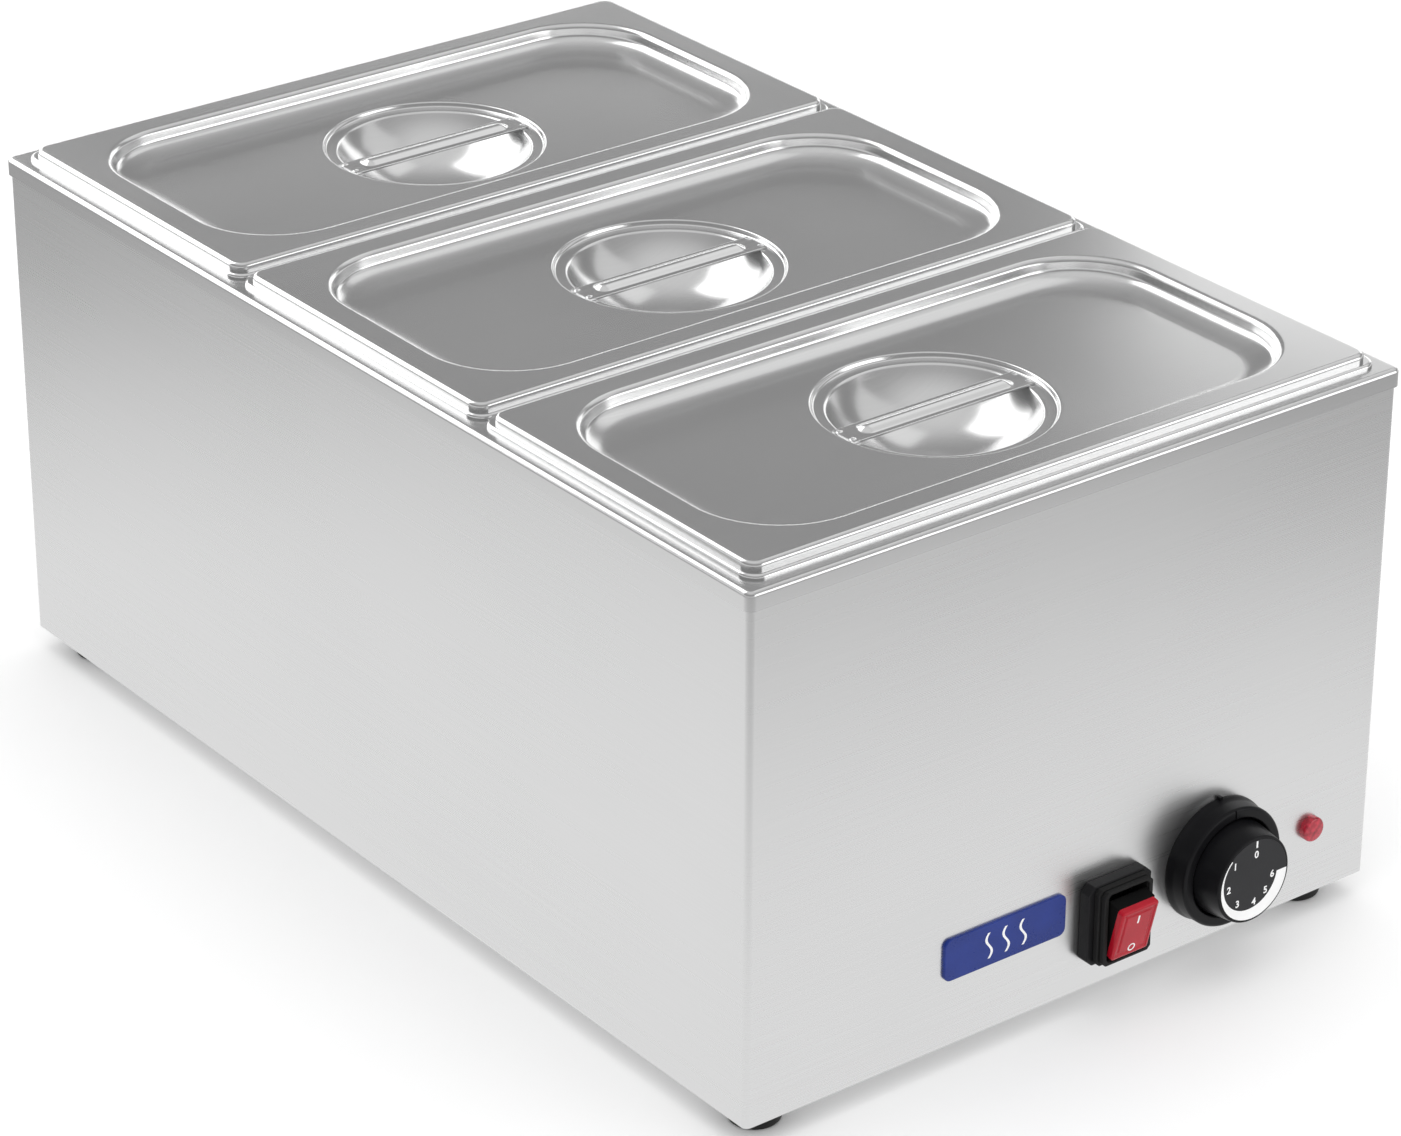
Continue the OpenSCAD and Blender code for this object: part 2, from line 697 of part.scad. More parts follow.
module wire_earth() {
    color([0.35, 0.6, 0.2]) {
        wire([[54, y0 + 201, 21], [54, y0 + 180, 21], [-40, y0 + 180, 21], [-50, y0 + 180, 17.4],
            [-57.2, y0 + 180, 17.4]], 1.3, 6);
        translate([-60, y0 + 180, plate_top + 3]) difference() {
            cylinder(r = 4, h = 1.5);
            translate([0, 0, -1]) cylinder(r = 2.1, h = 5);
        }
    }
}

// ---- the assembly ----
body_shell();
water_tank();
base_plate();
base_screws();
foot(-1, -1);  // foot_front_left
foot(1, -1);  // foot_front_right
foot(-1, 1);  // foot_rear_left
foot(1, 1);  // foot_rear_right
foot_washers();
foot_screws();
foot_nuts();
pan_at(0);  // pan_front
pan_at(1);  // pan_middle
pan_at(2);  // pan_rear
lid_at(0);  // lid_front
lid_at(1);  // lid_middle
lid_at(2);  // lid_rear
handle_at(0);  // handle_front
handle_at(1);  // handle_middle
handle_at(2);  // handle_rear
heat_spreader();
heating_element();
element_insulators();
element_pins();
clamp_bars();
clamp_studs();
clamp_nuts();
safety_cutout();
thermostat_body();
thermostat_shaft();
thermostat_screws();
sensor_tube();
sensor_bulb();
bulb_clips();
knob_bezel();
control_knob();
dial_plate();
switch_frame();
switch_seal();
switch_body();
switch_tabs();
switch_pin();
rocker_base();
rocker_cap();
lamp_lens();
lamp_body();
lamp_nut();
nameplate();
terminal_block();
terminal_screws();
block_screws();
gland_body();
gland_cap();
gland_nut();
earth_stud();
wire_live();
wire_neutral();
wire_earth();
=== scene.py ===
"""Looks of the electric buffet server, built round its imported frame."""
import json
import math

import bmesh
import bpy
from mathutils import Matrix, Vector

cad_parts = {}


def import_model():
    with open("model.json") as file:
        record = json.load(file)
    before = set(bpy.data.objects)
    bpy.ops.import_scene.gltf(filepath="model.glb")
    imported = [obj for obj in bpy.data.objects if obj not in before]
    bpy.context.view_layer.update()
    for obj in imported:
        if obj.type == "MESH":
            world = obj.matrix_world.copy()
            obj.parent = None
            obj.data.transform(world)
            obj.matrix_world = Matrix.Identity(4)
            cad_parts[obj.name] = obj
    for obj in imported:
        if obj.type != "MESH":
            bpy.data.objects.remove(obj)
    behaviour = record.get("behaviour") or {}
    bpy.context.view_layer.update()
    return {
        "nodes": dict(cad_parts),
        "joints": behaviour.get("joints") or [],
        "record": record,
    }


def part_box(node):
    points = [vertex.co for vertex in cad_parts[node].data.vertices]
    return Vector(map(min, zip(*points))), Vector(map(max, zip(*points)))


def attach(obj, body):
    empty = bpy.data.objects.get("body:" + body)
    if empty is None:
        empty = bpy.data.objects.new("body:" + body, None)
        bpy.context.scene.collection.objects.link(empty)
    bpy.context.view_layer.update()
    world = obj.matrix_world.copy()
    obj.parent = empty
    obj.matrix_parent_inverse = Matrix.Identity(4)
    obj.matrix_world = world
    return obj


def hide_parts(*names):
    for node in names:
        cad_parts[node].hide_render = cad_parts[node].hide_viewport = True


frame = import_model()
MM = 0.001
ROWS = ("front", "middle", "rear")
SHARP_ANGLE = 38
# sheet thicknesses in millimetres: body and tank, pans and lids, handles
SHEET = 1.0
THIN_SHEET = 0.8
HANDLE_SHEET = 0.98

# points per quarter of every plan outline: up the short side, round the corner, along the long side
SIDE_STEPS = 4
CORNER_STEPS = 12
LONG_STEPS = 16
ROUND_STEPS = 4*(SIDE_STEPS + CORNER_STEPS + LONG_STEPS)


# ---- profiles and outlines ----
def arc(cx, cy, radius, start, end, steps):
    """Points on an arc between two angles in degrees, both ends included."""
    turns = [math.radians(start + (end - start)*k/steps) for k in range(steps + 1)]
    return [(cx + radius*math.cos(t), cy + radius*math.sin(t)) for t in turns]


def outline(half_x, half_y, radius):
    """Points round a rounded rectangle, anticlockwise from the middle of its right side."""
    cx, cy = half_x - radius, half_y - radius
    quarter = [(half_x, cy*k/SIDE_STEPS) for k in range(SIDE_STEPS)]
    quarter += arc(cx, cy, radius, 0, 90, CORNER_STEPS)[:-1]
    quarter += [(cx*(1 - k/LONG_STEPS), half_y) for k in range(LONG_STEPS)]
    whole = quarter + [(0, half_y)]
    back = list(reversed(whole))
    points = list(quarter)
    points += [(-x, y) for x, y in back[:-1]]
    points += [(-x, -y) for x, y in whole[:-1]]
    points += [(x, -y) for x, y in back[:-1]]
    return points


def rect_rings(half_x, half_y, radius, profile):
    """One ring per profile point (inset from the outline, height)."""
    smallest = 0.4
    return [[(x, y, z) for x, y in outline(half_x - inset, half_y - inset, max(radius - inset, smallest))]
            for inset, z in profile]


def round_rings(profile, steps=ROUND_STEPS):
    """One circular ring per profile point (radius, height)."""
    turns = [math.tau*k/steps for k in range(steps)]
    return [[(r*math.cos(t), r*math.sin(t), z) for t in turns] for r, z in profile]


# ---- mesh building ----
def loft(bm, rings, fill_last=True, fill_first=False, closed=False):
    """Quads between each ring and the next; normals point out when rings run from an outer edge inwards."""
    rows = [[bm.verts.new(Vector(p)*MM) for p in ring] for ring in rings]
    pairs = list(zip(rows, rows[1:])) + ([(rows[-1], rows[0])] if closed else [])
    for a, b in pairs:
        count = len(a)
        for k in range(count):
            n = (k + 1) % count
            bm.faces.new((a[k], a[n], b[n], b[k]))
    if fill_last:
        bm.faces.new(rows[-1])
    if fill_first:
        bm.faces.new(list(reversed(rows[0])))
    return rows


def thicken(bm, thickness):
    """Doubles an open skin into a sheet, grown against its normals, and closes the rims."""
    bm.normal_update()
    skin = list(bm.faces)
    rims = [e.link_loops[0] for e in bm.edges if e.is_boundary]
    rims = [(loop.vert, loop.link_loop_next.vert) for loop in rims]
    twin = {v: v.co - v.normal*(thickness*MM*v.calc_shell_factor()) for v in bm.verts}
    twin = {v: bm.verts.new(co) for v, co in twin.items()}
    for f in skin:
        bm.faces.new([twin[v] for v in reversed(f.verts)])
    for a, b in rims:
        bm.faces.new((b, a, twin[a], twin[b]))


def bevel_sharp(bm, width, segments=3, angle=40):
    """Rounds every edge sharper than the angle."""
    bm.normal_update()
    edges = [e for e in bm.edges if len(e.link_faces) == 2 and e.calc_face_angle() > math.radians(angle)]
    bmesh.ops.bevel(bm, geom=edges, offset=width*MM, segments=segments, profile=0.5,
                    affect="EDGES", clamp_overlap=True)


def make(bm, name, place=None, sharp=SHARP_ANGLE):
    """Turns a bmesh into an object with smooth shading that stays flat on flat faces."""
    if place is not None:
        bmesh.ops.transform(bm, matrix=place, verts=bm.verts)
    bm.normal_update()
    limit = math.radians(sharp)
    for f in bm.faces:
        f.smooth = True
    for e in bm.edges:
        if len(e.link_faces) == 2 and e.calc_face_angle(0) > limit:
            e.smooth = False
    mesh = bpy.data.meshes.new(name)
    bm.to_mesh(mesh)
    bm.free()
    obj = bpy.data.objects.new(name, mesh)
    bpy.context.scene.collection.objects.link(obj)
    weighted = obj.modifiers.new("weighted", "WEIGHTED_NORMAL")
    weighted.keep_sharp = True
    return obj


def cut(obj, cutters):
    """Takes the cutters' solids out of obj for good and removes them."""
    for cutter in cutters:
        mod = obj.modifiers.new("cut", "BOOLEAN")
        mod.object = cutter
        mod.solver = "EXACT"
    obj.modifiers.remove(obj.modifiers["weighted"])
    bpy.context.view_layer.update()
    shape = obj.evaluated_get(bpy.context.evaluated_depsgraph_get())
    mesh = bpy.data.meshes.new_from_object(shape)
    obj.modifiers.clear()
    obj.data = mesh
    for cutter in cutters:
        bpy.data.objects.remove(cutter)
    bm = bmesh.new()
    bm.from_mesh(mesh)
    for e in bm.edges:
        e.smooth = not (len(e.link_faces) == 2 and e.calc_face_angle(0) > math.radians(SHARP_ANGLE))
    bm.to_mesh(mesh)
    bm.free()
    again = obj.modifiers.new("weighted", "WEIGHTED_NORMAL")
    again.keep_sharp = True
    return obj


def prism(points, low, high):
    """Rings of an upright prism over a plan outline."""
    return [[(x, y, low) for x, y in points], [(x, y, high) for x, y in points]]


def cylinder(name, radius, low, high, place, steps):
    """Closed upright cylinder, used for cutting."""
    bm = bmesh.new()
    loft(bm, round_rings([(radius, low), (radius, high)], steps), fill_first=True)
    return make(bm, name, place)


def settle(obj, body, slot, material, *nodes):
    """Gives a finished piece its material and body and hides the CAD nodes that it stands for; slot is not
    used.
    """
    obj.data.materials.clear()
    obj.data.materials.append(material)
    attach(obj, body)
    if nodes:
        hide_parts(*nodes)
    return obj


# ---- places, read from the frame ----
def centre_of(node):
    """Middle of a CAD node's box."""
    low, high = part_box(node)
    return (low + high)/2


shell_low, shell_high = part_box("body_shell")
tank_low, tank_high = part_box("water_tank")
panel_y = shell_low.y
JOINTS = {joint["name"]: joint for joint in frame["joints"]}
knob_centre = centre_of("control_knob")
switch_centre = centre_of("switch_frame")
lamp_centre = centre_of("lamp_lens")
plate_centre = centre_of("nameplate")


def on_panel(x, z, out=0.0):
    """Local X right, Y up and Z out of the control panel, from a point of it (metres)."""
    turned = Matrix(((1, 0, 0), (0, 0, -1), (0, 1, 0))).to_4x4()
    return Matrix.Translation((x, panel_y - out, z)) @ turned


# ---- materials ----
class Nodes:
    """Small helper for building one procedural material."""

    def __init__(self, name):
        self.material = bpy.data.materials.new(name)
        self.material.use_nodes = True
        self.tree = self.material.node_tree
        self.tree.nodes.clear()
        self.shader = self.add("ShaderNodeBsdfPrincipled")
        out = self.add("ShaderNodeOutputMaterial")
        self.link(self.shader.outputs[0], out.inputs["Surface"])
        self.place = self.add("ShaderNodeTexCoord").outputs["Object"]

    def add(self, kind, **values):
        """New node with its settings."""
        node = self.tree.nodes.new(kind)
        for key, value in values.items():
            setattr(node, key, value)
        return node

    def link(self, out, into):
        self.tree.links.new(out, into)

    def noise(self, scale, detail, roughness=0.5):
        """Noise over the object's own coordinates; scale is per metre on each axis."""
        mapping = self.add("ShaderNodeMapping")
        mapping.inputs["Scale"].default_value = scale
        self.link(self.place, mapping.inputs["Vector"])
        node = self.add("ShaderNodeTexNoise")
        node.inputs["Scale"].default_value = 1.0
        node.inputs["Detail"].default_value = detail
        node.inputs["Roughness"].default_value = roughness
        self.link(mapping.outputs[0], node.inputs["Vector"])
        return node.outputs["Fac"]

    def spread(self, value, low, high, start=0.25, end=0.75):
        """Carries a 0 to 1 value onto another range."""
        node = self.add("ShaderNodeMapRange")
        for key, number in (("From Min", start), ("From Max", end), ("To Min", low), ("To Max", high)):
            node.inputs[key].default_value = number
        self.link(value, node.inputs["Value"])
        return node.outputs["Result"]

    def mixed(self, value, first, second):
        """Colour between two others."""
        node = self.add("ShaderNodeMix", data_type="RGBA")
        node.inputs["A"].default_value = (*first, 1)
        node.inputs["B"].default_value = (*second, 1)
        self.link(value, node.inputs["Factor"])
        return node.outputs["Result"]

    def sum(self, first, second, operation="ADD"):
        """Joins two values, or a value and a number."""
        node = self.add("ShaderNodeMath", operation=operation)
        self.link(first, node.inputs[0])
        if isinstance(second, float):
            node.inputs[1].default_value = second
        else:
            self.link(second, node.inputs[1])
        return node.outputs[0]

    def bump(self, height, distance):
        """Relief of the given depth, in metres."""
        node = self.add("ShaderNodeBump")
        node.inputs["Strength"].default_value = 1.0
        node.inputs["Distance"].default_value = distance
        self.link(height, node.inputs["Height"])
        self.link(node.outputs["Normal"], self.shader.inputs["Normal"])

    def set(self, **values):
        """Plain numbers for the shader's sockets, with _ for a space."""
        for key, value in values.items():
            self.shader.inputs[key.replace("_", " ")].default_value = value


def steel(name, grey, rough, grain, streak=0.02, relief=0.000004, swing=0.05):
    """Stainless sheet: fine rolling or brushing lines along the grain, faint clouding, uneven gloss."""
    m = Nodes(name)
    cloud_scale, cloud_tone, cloud_gloss, reach = 7.0, 0.012, 0.015, 0.1
    cool, warm = (0.99, 0.995, 1.0), (1.0, 0.998, 0.996)
    lines = m.noise(grain, 4.0, 0.7)
    clouds = m.noise((cloud_scale,)*3, 2.0)
    both = m.sum(m.spread(lines, -streak, streak), m.spread(clouds, -cloud_tone, cloud_tone))
    tone = m.spread(both, 0.0, 1.0, -reach, reach)
    dark = tuple(c*(grey - reach) for c in cool)
    light = tuple(c*(grey + reach) for c in warm)
    m.link(m.mixed(tone, dark, light), m.shader.inputs["Base Color"])
    gloss = m.sum(m.spread(lines, rough - swing, rough + swing), m.spread(clouds, -cloud_gloss, cloud_gloss))
    m.link(gloss, m.shader.inputs["Roughness"])
    m.bump(lines, relief)
    m.set(Metallic=1.0)
    return m.material


def plastic(name, dark, light, rough, grain=900.0, relief=0.00002, cloud=60.0, **values):
    """Moulded plastic or rubber: fine surface grain and slightly uneven gloss."""
    m = Nodes(name)
    fine = m.noise((grain,)*3, 2.0)
    wide = m.noise((cloud,)*3, 3.0)
    m.link(m.mixed(m.spread(wide, 0.0, 1.0), dark, light), m.shader.inputs["Base Color"])
    m.link(m.sum(m.spread(wide, rough - 0.04, rough + 0.04), m.spread(fine, -0.03, 0.03)),
           m.shader.inputs["Roughness"])
    m.bump(fine, relief)
    m.set(**values)
    return m.material


# grain scales: many lines per metre across the grain, few along it
LEVEL_GRAIN = (2.0, 2.0, 1400.0)
ACROSS_GRAIN = (3.0, 1500.0, 3.0)
ROUND_GRAIN = (260.0, 260.0, 900.0)

body_steel = steel("body_steel", 0.68, 0.28, LEVEL_GRAIN, streak=0.012, relief=0.000002, swing=0.02)
tank_steel = steel("tank_steel", 0.65, 0.22, LEVEL_GRAIN, streak=0.01, swing=0.03)
pan_steel = steel("pan_steel", 0.72, 0.18, ROUND_GRAIN, relief=0.0000015, streak=0.01, swing=0.03)
lid_steel = steel("lid_steel", 0.68, 0.2, ACROSS_GRAIN, streak=0.018, relief=0.0000002, swing=0.008)
handle_steel = steel("handle_steel", 0.7, 0.18, ACROSS_GRAIN, relief=0.000002)
plain_steel = steel("plain_steel", 0.6, 0.34, ROUND_GRAIN)
aluminium = steel("aluminium", 0.78, 0.36, ACROSS_GRAIN)
oxidised_sheath = steel("oxidised_sheath", 0.28, 0.5, ROUND_GRAIN)
brass = plastic("brass", (0.62, 0.45, 0.16), (0.7, 0.53, 0.22), 0.3, Metallic=1.0)
copper = plastic("copper", (0.62, 0.3, 0.18), (0.7, 0.38, 0.24), 0.34, Metallic=1.0)
rubber = plastic("rubber", (0.008, 0.008, 0.008), (0.015, 0.015, 0.015), 0.62, Specular_IOR_Level=0.15)
gloss_black = plastic("gloss_black", (0.005, 0.005, 0.006), (0.009, 0.009, 0.01), 0.34, 1400.0, 0.000006,
                      Specular_IOR_Level=0.12)
satin_black = plastic("satin_black", (0.008, 0.008, 0.009), (0.014, 0.014, 0.015), 0.42, 1200.0, 0.00001,
                      Specular_IOR_Level=0.12)
dial_grey = plastic("dial_grey", (0.022, 0.022, 0.024), (0.03, 0.03, 0.032), 0.5, 1600.0, 0.000008,
                    Specular_IOR_Level=0.15)
print_white = plastic("print_white", (0.82, 0.82, 0.82), (0.9, 0.9, 0.9), 0.45, 1500.0, 0.000004)
blue_enamel = plastic("blue_enamel", (0.006, 0.022, 0.17), (0.01, 0.032, 0.23), 0.3, 700.0, 0.000006,
                      Specular_IOR_Level=0.3)
ceramic = plastic("ceramic", (0.74, 0.71, 0.64), (0.84, 0.82, 0.76), 0.6)
red_lens = plastic("red_lens", (0.34, 0.004, 0.014), (0.44, 0.008, 0.022), 0.2, 900.0, 0.000008,
                   Specular_IOR_Level=0.25)
# the lens red made lighter for the rocker's flat inner face: painted light
red_panel_painted_light = plastic("red_panel_painted_light", (0.5, 0.006, 0.02), (0.64, 0.012, 0.032), 0.24, 900.0, 0.000008,
                    Specular_IOR_Level=0.15)
lamp_red = plastic("lamp_red", (0.16, 0.003, 0.01), (0.62, 0.03, 0.06), 0.12, 900.0, 0.00001, cloud=420.0,
                   Specular_IOR_Level=0.6)
# black plastic made darker and duller for the rocker core down in the switch well: painted shade
well_painted_shade_black = plastic("well_painted_shade_black", (0.003, 0.003, 0.003), (0.006, 0.006, 0.006), 0.6, Specular_IOR_Level=0.06)
# the lens red made much darker for the groove round the rocker's inner face: painted shade
red_groove_painted_shade = plastic("red_groove_painted_shade", (0.14, 0.002, 0.008), (0.2, 0.004, 0.012), 0.3, 900.0, 0.000008)
brown_wire = plastic("brown_wire", (0.13, 0.045, 0.015), (0.18, 0.07, 0.03), 0.45)
blue_wire = plastic("blue_wire", (0.015, 0.06, 0.3), (0.03, 0.09, 0.38), 0.45)
green_wire = plastic("green_wire", (0.05, 0.22, 0.03), (0.1, 0.3, 0.05), 0.45)

FINISHES = {
    "satin_steel": body_steel, "bright_steel": pan_steel, "plain_steel": plain_steel,
    "rubber_black": rubber, "black_plastic": satin_black, "gloss_black": gloss_black,
    "red_lens": red_lens, "dial_grey": dial_grey, "blue_enamel": blue_enamel,
    "element_sheath": oxidised_sheath, "ceramic_white": ceramic, "aluminium_plate": aluminium,
    "copper_tube": copper, "brass": brass, "brown_wire": brown_wire, "blue_wire": blue_wire,
    "green_wire": green_wire}


def finish_cad_nodes():
    """Every carried-over CAD node takes the procedural material of its slot."""
    for part in frame["record"]["subparts"]:
        node = frame["nodes"][part["node"]]
        node.data.materials.clear()
        node.data.materials.append(FINISHES[part["material_slot"]])


# ---- body ----
def body_shell():
    """One bent sheet with an inward lip at its foot and three holes in the control panel."""
    corner, lip_width = 2.8, 29
    half_x = (shell_high.x - shell_low.x)/2/MM
    half_y = (shell_high.y - shell_low.y)/2/MM
    height = (shell_high.z - shell_low.z)/MM
    skin = [(0, 0), (0, 12), (0, height - 12), (0, height)]
    bm = bmesh.new()
    loft(bm, rect_rings(half_x, half_y, corner, skin), fill_last=False)
    thicken(bm, SHEET)
    lip = [(0, 1.0), (0, 2.0), (lip_width, 2.0), (lip_width, 1.0)]
    lip = rect_rings(half_x - SHEET, half_y - SHEET, corner - SHEET, lip)
    loft(bm, lip, fill_last=False, closed=True)
    middle = (shell_low + shell_high)/2
    shell = make(bm, "shell", Matrix.Translation((middle.x, middle.y, shell_low.z)))
    holes = [(switch_centre, 13), (lamp_centre, 4.1), (knob_centre, 5.2)]
    cut(shell, [cylinder(f"hole_{k}", radius, -6, 6, on_panel(spot.x, spot.z), 48)
                for k, (spot, radius) in enumerate(holes)])
    return settle(shell, "unit", "satin_steel", body_steel, "body_shell")


def water_tank():
    """Well with a flange and its turned-down edge."""
    corner, well_x, well_y, well_corner = 3.6, 153.5, 254.5, 20
    half_x = (tank_high.x - tank_low.x)/2/MM
    half_y = (tank_high.y - tank_low.y)/2/MM
    depth = (tank_high.z - tank_low.z)/MM - 1
    edge = [(0, -8), (0, -7)] + arc(2.1, -2.1, 2.1, 180, 90, 8) + [(2.6, 0)]
    well = [(-3.5, 0)] + arc(-3, -3, 3, 90, 0, 6)
    well += [(12 - x, z) for x, z in arc(0, 12 - depth, 12, 0, -90, 8)] + [(13, -depth)]
    bm = bmesh.new()
    rings = rect_rings(half_x, half_y, corner, edge) + rect_rings(well_x, well_y, well_corner, well)
    loft(bm, rings)
    thicken(bm, SHEET)
    middle = (tank_low + tank_high)/2
    tank = make(bm, "tank", Matrix.Translation((middle.x, middle.y, tank_high.z)))
    return settle(tank, "unit", "satin_steel", tank_steel, "water_tank")


def foot(corner):
    """Hollow rubber foot, a little narrower at its bottom."""
    low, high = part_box(f"foot_{corner}")
    middle = (low + high)/2
    radius = (high.x - low.x)/2/MM
    height = (high.z - low.z)/MM
    profile = [(2.4, height), (radius - 0.3, height), (radius, height - 0.4)]
    profile += [(radius - 0.25, 6), (radius - 0.5, 2.4)]
    profile += arc(radius - 2.1, 1.6, 1.6, 0, -90, 5)
    profile += [(6.6, 0), (6.1, 0.3), (6, 0.8), (6, 6), (2.4, 6)]
    bm = bmesh.new()
    loft(bm, round_rings(list(reversed(profile)), 64), fill_last=False, closed=True)
    bmesh.ops.recalc_face_normals(bm, faces=bm.faces)
    piece = make(bm, f"rubber_foot_{corner}", Matrix.Translation((middle.x, middle.y, low.z)))
    return settle(piece, "unit", "rubber_black", rubber, f"foot_{corner}")


# ---- pans, lids and handles ----
def pan(row):
    """Gastronorm pan with a flat rim."""
    rim_corner, wall_corner = 8, 28
    low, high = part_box(f"pan_{row}")
    middle = (low + high)/2
    half_x = (high.x - low.x)/2/MM
    half_y = (high.y - low.y)/2/MM
    depth = (high.z - low.z)/MM - THIN_SHEET
    edge = [(0, -2)] + arc(1.4, -1.4, 1.4, 180, 90, 6) + [(1.9, 0)]
    wall = [(-3, 0)] + arc(-2.5, -2.5, 2.5, 90, 0, 6)
    wall += [(20 - x, z) for x, z in arc(0, 14 - depth, 14, 4, -90, 9)] + [(21, -depth)]
    bm = bmesh.new()
    rings = rect_rings(half_x, half_y, rim_corner, edge)
    loft(bm, rings + rect_rings(half_x - 11.8, half_y - 12.8, wall_corner, wall))
    thicken(bm, THIN_SHEET)
    piece = make(bm, f"{row}_gastronorm_pan", Matrix.Translation((middle.x, middle.y, high.z)))
    return settle(piece, f"{row}_pan", "bright_steel", pan_steel, f"pan_{row}")


# heights in a lid, down from its top, in millimetres
TRAY_DEPTH = 9.3
LEDGE_DROP = 2.2
LEDGE = -TRAY_DEPTH - LEDGE_DROP
BOWL_DEPTH = 33.0
BOWL_RADIUS = 43.2


def lid(row):
    """Recessed lid: flat edge, sunken tray, stepped ledge and a round dish for the fingers."""
    edge_corner, tray_corner = 6.5, 42
    low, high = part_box(f"lid_{row}")
    middle = (low + high)/2
    half_x = (high.x - low.x)/2/MM
    half_y = (high.y - low.y)/2/MM
    edge = [(0, -3.5), (0, -2.6)] + arc(2, -2, 2, 180, 90, 8) + [(2.4, 0)]
    tray = [(-0.6, 0)] + arc(0, -3, 3, 90, 18, 8)
    tray += [(3.3, -4.4), (3.55, -5.4), (3.85, -5.9), (4.4, -6.35)]
    ramp = 26.3
    tray += arc(16, ramp - TRAY_DEPTH, ramp, -115, -95, 5) + [(16, -TRAY_DEPTH), (16.8, -TRAY_DEPTH)]
    step = [(52, -TRAY_DEPTH)] + arc(51, -TRAY_DEPTH - 1, 1, 90, 165, 5)
    step += [(49.7, LEDGE + 0.6), (49.35, LEDGE + 0.2), (48.8, LEDGE)]
    flat = 4.0
    turn = math.degrees(2*math.atan((BOWL_DEPTH + LEDGE)/(BOWL_RADIUS + 2 - flat)))
    dish = (BOWL_RADIUS + 2 - flat)/math.sin(math.radians(turn)) - 2
    bowl = [(BOWL_RADIUS + 2.6, LEDGE)] + arc(BOWL_RADIUS + 2, LEDGE - 2, 2, 90, 90 + turn, 7)
    bowl += arc(flat, dish - BOWL_DEPTH, dish, turn - 90, -90, 22)[1:]
    bowl += [(2, -BOWL_DEPTH)]
    bm = bmesh.new()
    rings = rect_rings(half_x, half_y, edge_corner, edge)
    rings += rect_rings(half_x - 13, half_y - 11.5, tray_corner, tray)
    loft(bm, rings + round_rings(step + bowl))
    thicken(bm, THIN_SHEET)
    piece = make(bm, f"{row}_lid", Matrix.Translation((middle.x, middle.y, high.z)))
    return settle(piece, f"{row}_lid", "bright_steel", lid_steel, f"lid_{row}")


def handle(row):
    """Strip with a long pressed rib and two weld spots at each end."""
    low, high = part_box(f"handle_{row}")
    middle = (low + high)/2
    half_x = (high.x - low.x)/2/MM
    half_y = (high.y - low.y)/2/MM
    rib_half, rib_radius, rise, roundness = 35.0, 5.0, 1.8, 1.6
    spot_x, spot_y, spot_radius, spot_rise = 46, 4.3, 1.15, 0.42
    steps_x, steps_y = 190, 40

    def lift(x, y):
        away = min(math.hypot(max(abs(x) - rib_half, 0), y)/rib_radius, 1)
        aside = min(math.hypot(abs(x) - spot_x, abs(y) - spot_y)/spot_radius, 1)
        return 1 + rise*(1 - away*away)**roundness + spot_rise*math.sqrt(1 - aside*aside)

    bm = bmesh.new()
    grid = [[bm.verts.new(Vector((x, y, lift(x, y)))*MM)
             for y in [half_y*(2*j/steps_y - 1) for j in range(steps_y + 1)]]
            for x in [half_x*(2*i/steps_x - 1) for i in range(steps_x + 1)]]
    for i in range(steps_x):
        for j in range(steps_y):
            bm.faces.new((grid[i][j], grid[i + 1][j], grid[i + 1][j + 1], grid[i][j + 1]))
    thicken(bm, HANDLE_SHEET)
    bevel_sharp(bm, 0.18, 2, 60)
    piece = make(bm, f"{row}_handle", Matrix.Translation((middle.x, middle.y, low.z)))
    return settle(piece, f"{row}_lid", "bright_steel", handle_steel, f"handle_{row}")


# ---- knob ----
def lathe(name, profile, place, steps=96, closed=False):
    """Turned piece; a closed profile makes a ring."""
    bm = bmesh.new()
    loft(bm, round_rings(profile, steps), fill_last=not closed, closed=closed)
    return make(bm, name, place)


def block(name, size, middle, place, round_by=0.15):
    """Small box with rounded edges, sizes and centre in millimetres."""
    bm = bmesh.new()
    x, y, z = (s/2 for s in size)
    ring = [(-x, -y), (x, -y), (x, y), (-x, y)]
    loft(bm, prism(ring, -z, z), fill_first=True)
    bevel_sharp(bm, round_by, 2)
    return make(bm, name, place @ Matrix.Translation(Vector(middle)*MM))


